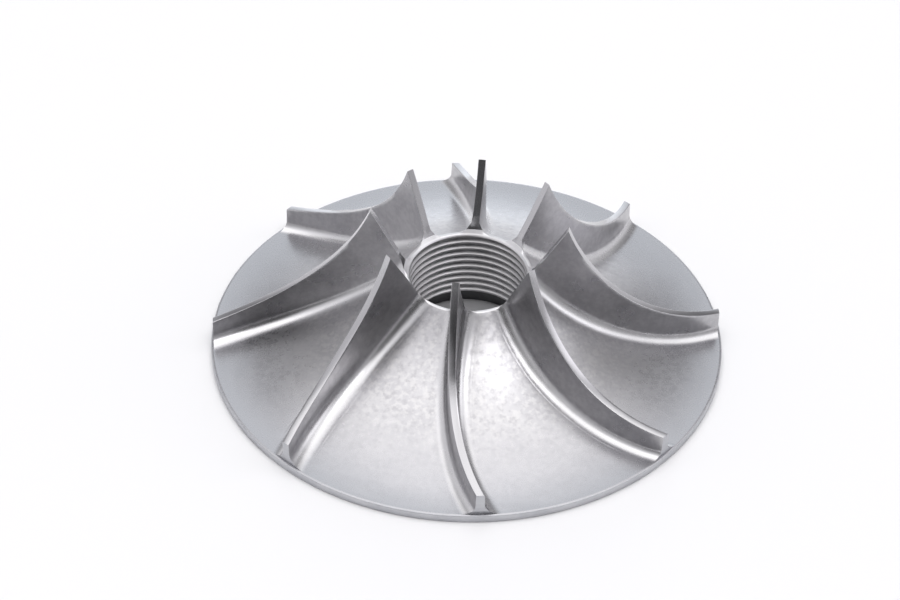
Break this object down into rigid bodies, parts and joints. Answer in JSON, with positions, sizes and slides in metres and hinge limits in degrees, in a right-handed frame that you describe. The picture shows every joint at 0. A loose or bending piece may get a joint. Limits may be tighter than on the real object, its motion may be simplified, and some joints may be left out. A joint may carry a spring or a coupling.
{
  "type": "water pump impeller",
  "caption": "Semi-open centrifugal pump impeller: flared disc with curved backswept vanes and a threaded bore.",
  "frame": {"origin": "centre of the bore on the flat back face", "axes": "+Z along the bore axis towards the inlet side; the vanes stand on the +Z side"},
  "size_m": [0.132, 0.132, 0.0399],
  "materials": {
    "cast_stainless": "satin cast stainless steel with ground vane roots and a turned rim"
  },
  "bodies": {
    "root": {"impeller": "cast_stainless"}
  },
  "joints": []
}
